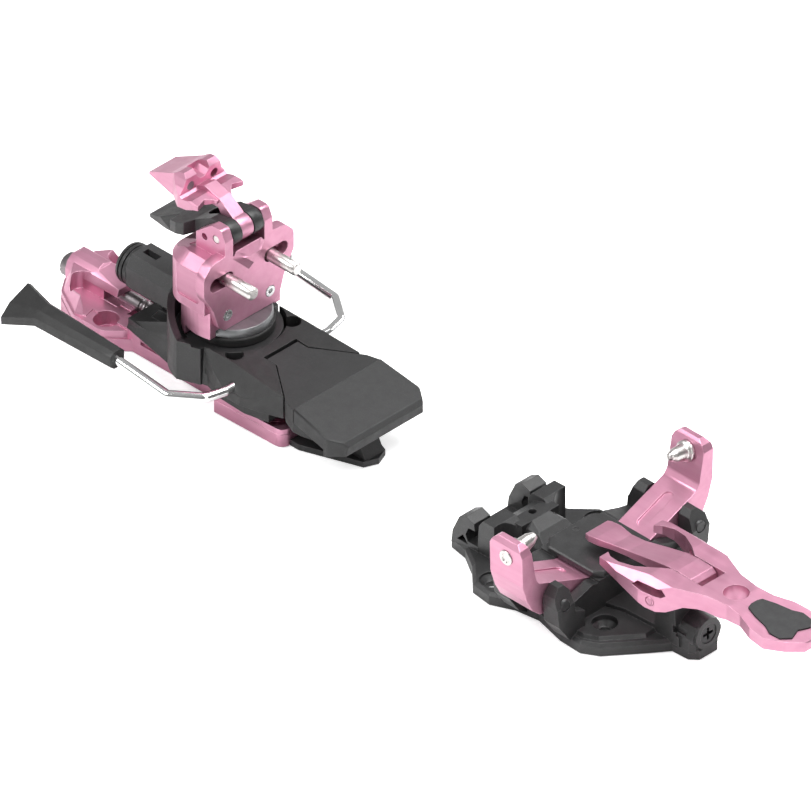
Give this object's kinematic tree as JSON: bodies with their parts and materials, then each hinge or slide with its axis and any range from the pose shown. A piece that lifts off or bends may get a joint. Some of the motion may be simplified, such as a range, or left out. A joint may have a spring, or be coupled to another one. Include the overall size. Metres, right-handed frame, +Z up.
{
  "type": "touring ski binding",
  "caption": "Pin-type touring ski binding: heel unit with sliding carriage, turning pin turret, flip risers and ski brake, and toe unit with pinned arms and a lever.",
  "frame": {"origin": "on the ski top sheet under the vertical axis of the heel turret, on the ski centreline", "axes": "+X to the ski tip, +Y to the left, +Z up from the ski"},
  "size_m": [0.4036, 0.104, 0.0926],
  "materials": {
    "pink_anodised": "satin anodised",
    "black_polymer": "fine moulded grain",
    "grey_alloy": "bead blasted",
    "hard_steel": "ground",
    "screw_steel": "turned",
    "spring_steel": "oiled",
    "black_rubber": "matte",
    "brake_wire_steel": "polished"
  },
  "bodies": {
    "ski_mounts": {"heel_track": "pink_anodised", "track_front_stop": "black_polymer", "toe_base": "black_polymer", "centre_cover": "black_polymer", "cover_screw": "screw_steel", "toe_pivot_pins": "screw_steel", "nose_screw": "black_polymer", "toe_springs": "spring_steel", "lever_pin": "screw_steel"},
    "lead_screw": {"lead_screw": "screw_steel"},
    "heel_carriage": {"heel_carriage": "black_polymer", "barrel_housing": "black_polymer", "barrel_cap": "black_polymer", "lateral_spring": "spring_steel", "seal_ring": "black_rubber", "turret_post": "hard_steel", "brake_plate": "black_polymer", "pad_pin": "screw_steel"},
    "plunger": {"plunger": "hard_steel"},
    "release_screw": {"release_screw": "screw_steel"},
    "turret": {"turret_housing": "pink_anodised", "turret_screws": "screw_steel", "pin_pivots": "hard_steel", "riser_axle": "hard_steel", "bearing_disc": "grey_alloy"},
    "heel_pin_left": {"heel_pin_left": "hard_steel"},
    "heel_pin_right": {"heel_pin_right": "hard_steel"},
    "riser_lower": {"riser_lower": "black_polymer"},
    "riser_upper": {"riser_upper": "pink_anodised", "riser_magnet": "grey_alloy"},
    "brake_arms": {"brake_wire": "brake_wire_steel", "brake_foot_left": "black_polymer", "brake_foot_right": "black_polymer"},
    "brake_pad": {"brake_pad": "black_polymer", "pad_shoe": "black_rubber"},
    "toe_arm_left": {"toe_arm_left": "pink_anodised", "toe_pin_left": "hard_steel"},
    "toe_arm_right": {"toe_arm_right": "pink_anodised", "toe_pin_right": "hard_steel"},
    "toe_lever": {"toe_lever": "pink_anodised", "lever_insert": "black_rubber", "tongue_pin": "screw_steel"},
    "lever_tongue": {"lever_tongue": "pink_anodised"}
  },
  "joints": [
    {"name": "carriage_slide", "type": "slide", "parent": "ski_mounts", "child": "heel_carriage", "axis": [1, 0, 0], "range_m": [-0.0125, 0.0125]},
    {"name": "screw_turn", "type": "hinge", "parent": "ski_mounts", "child": "lead_screw", "pos_m": [-0.05, 0, 0.01], "axis": [1, 0, 0], "range_deg": [-2280, 2280]},
    {"name": "turret_turn", "type": "hinge", "parent": "heel_carriage", "child": "turret", "pos_m": [0, 0, 0.04], "axis": [0, 0, 1], "range_deg": [-180, 180]},
    {"name": "plunger_slide", "type": "slide", "parent": "heel_carriage", "child": "plunger", "axis": [1, 0, 0], "range_m": [-0.002, 0], "stiffness_N_per_m": 2000, "deforming": ["lateral_spring"]},
    {"name": "release_turn", "type": "hinge", "parent": "heel_carriage", "child": "release_screw", "pos_m": [-0.0526, 0, 0.0278], "axis": [1, 0, 0], "continuous": true},
    {"name": "pin_left_swing", "type": "hinge", "parent": "turret", "child": "heel_pin_left", "pos_m": [-0.009, 0.0118, 0.0575], "axis": [0, 0, 1], "range_deg": [0, 11]},
    {"name": "pin_right_swing", "type": "hinge", "parent": "turret", "child": "heel_pin_right", "pos_m": [-0.009, -0.0118, 0.0575], "axis": [0, 0, 1], "range_deg": [-11, 0]},
    {"name": "riser_lower_flip", "type": "hinge", "parent": "turret", "child": "riser_lower", "pos_m": [0.0036, 0, 0.074], "axis": [0, 1, 0], "range_deg": [0, 150]},
    {"name": "riser_upper_flip", "type": "hinge", "parent": "riser_lower", "child": "riser_upper", "pos_m": [0.0036, 0, 0.074], "axis": [0, -1, 0], "range_deg": [-150, 0]},
    {"name": "brake_deploy", "type": "hinge", "parent": "heel_carriage", "child": "brake_arms", "pos_m": [0.024, 0, 0.0206], "axis": [0, -1, 0], "range_deg": [0, 55]},
    {"name": "pad_lift", "type": "hinge", "parent": "heel_carriage", "child": "brake_pad", "pos_m": [0.0292, 0, 0.0248], "axis": [0, -1, 0], "range_deg": [0, 18.2]},
    {"name": "toe_arm_left_close", "type": "hinge", "parent": "ski_mounts", "child": "toe_arm_left", "pos_m": [0.2, 0.0367, 0.021], "axis": [1, 0, 0], "range_deg": [0, 15], "deforming": ["toe_springs"]},
    {"name": "toe_arm_right_close", "type": "hinge", "parent": "ski_mounts", "child": "toe_arm_right", "pos_m": [0.2, -0.0367, 0.021], "axis": [1, 0, 0], "range_deg": [-15, 0]},
    {"name": "toe_lever_lift", "type": "hinge", "parent": "ski_mounts", "child": "toe_lever", "pos_m": [0.2435, 0, 0.0272], "axis": [0, -1, 0], "range_deg": [0, 28]},
    {"name": "tongue_swing", "type": "hinge", "parent": "toe_lever", "child": "lever_tongue", "pos_m": [0.2525, 0, 0.0326], "axis": [0, 1, 0], "range_deg": [0, 23.9]}
  ],
  "couplings": [
    {"joint": "screw_turn", "follows": "carriage_slide", "rad_per_m": 3141.6},
    {"joint": "pin_right_swing", "follows": "pin_left_swing", "ratio": -1},
    {"joint": "pad_lift", "follows": "brake_deploy", "ratio": 0.33},
    {"joint": "toe_arm_right_close", "follows": "toe_arm_left_close", "ratio": -1},
    {"joint": "tongue_swing", "follows": "toe_lever_lift", "ratio": 0.85}
  ]
}
